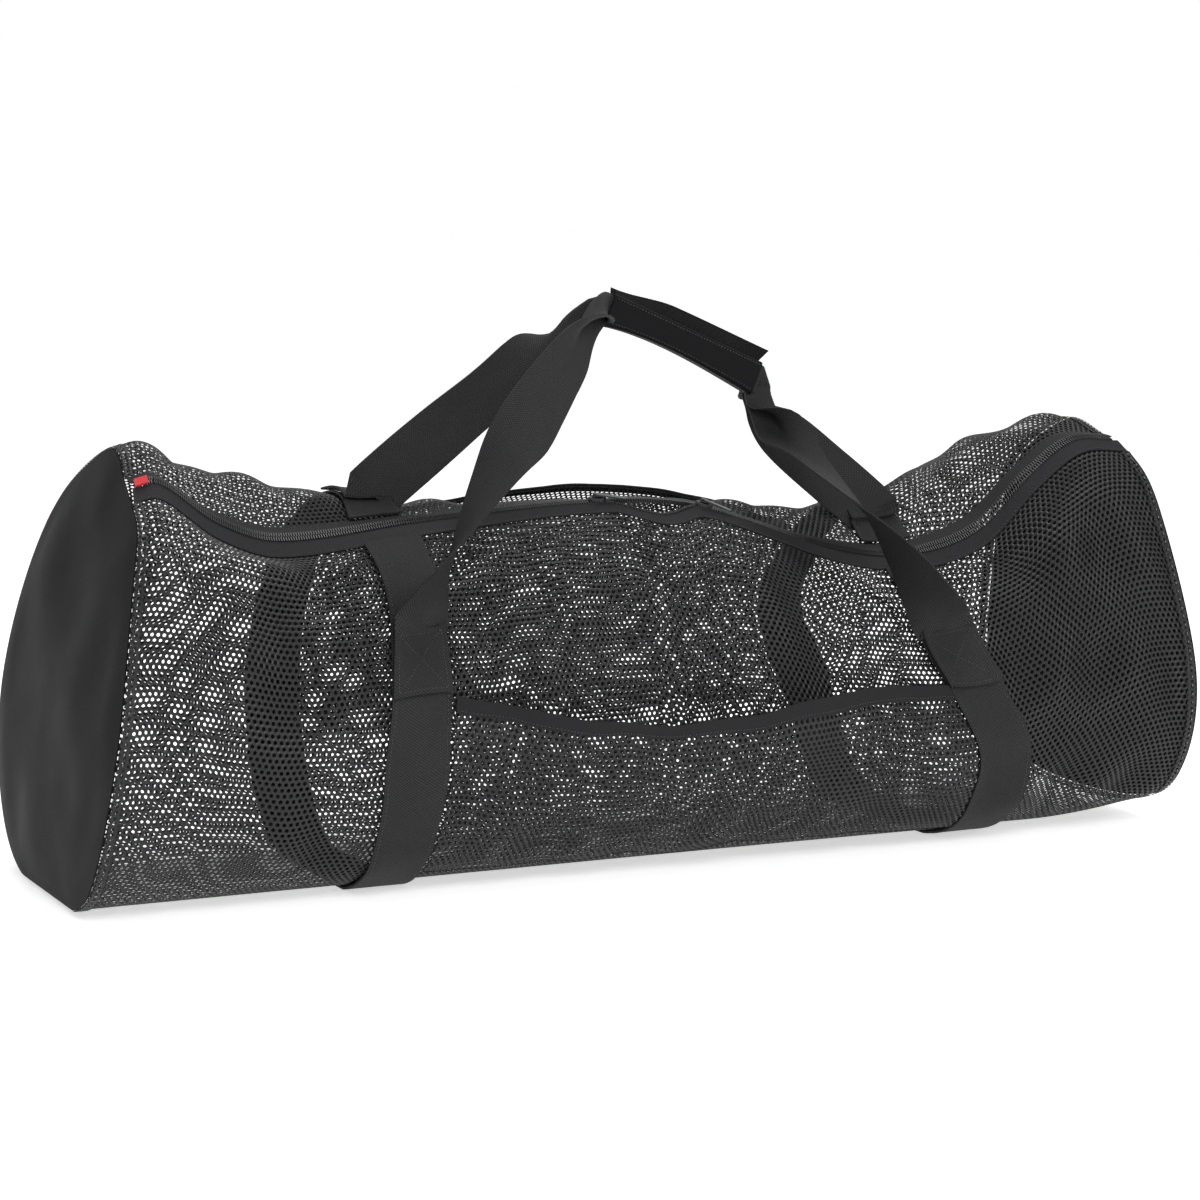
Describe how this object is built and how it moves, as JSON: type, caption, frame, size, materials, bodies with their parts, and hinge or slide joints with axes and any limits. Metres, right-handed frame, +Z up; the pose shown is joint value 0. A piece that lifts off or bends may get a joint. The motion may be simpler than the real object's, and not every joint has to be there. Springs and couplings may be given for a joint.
{
  "type": "mesh dive gear bag",
  "caption": "Long soft net bag with fabric ends, an open top zipper, webbing straps, net pockets and two carry handles joined in a grip wrap.",
  "frame": {"origin": "middle of the bounding box in plan, at the bottom of the bag", "axes": "+X along the bag from its left end to its right end, +Y from the front pocket to the rear, +Z up"},
  "size_m": [0.9946, 0.3716, 0.4835],
  "materials": {
    "net": "knitted polyester net, matte",
    "panel": "coated woven nylon, satin",
    "webbing": "woven webbing, slight sheen",
    "tape": "woven zipper tape, matte",
    "coil": "nylon coil",
    "slider": "black paint",
    "red_tab": "folded woven tab",
    "loop_pile": "loop pile, matte"
  },
  "bodies": {
    "root": {"mesh_front": "net", "mesh_bottom": "net", "mesh_rear": "net", "end_panel_left": "panel", "end_panel_right": "panel", "strap_left": "webbing", "strap_right": "webbing", "zip_tape_front": "tape", "zip_tape_rear": "tape", "zip_teeth_front": "coil", "zip_teeth_rear": "coil", "slider_1": "slider", "slider_2": "slider", "puller_1": "slider", "puller_2": "slider", "zip_end_tab": "red_tab", "handle_front": "webbing", "handle_rear": "webbing", "grip_wrap": "panel", "grip_loop_strip": "loop_pile", "front_pocket": "net", "front_pocket_hem": "webbing", "rear_pocket": "net", "rear_pocket_hem": "webbing"}
  },
  "joints": []
}
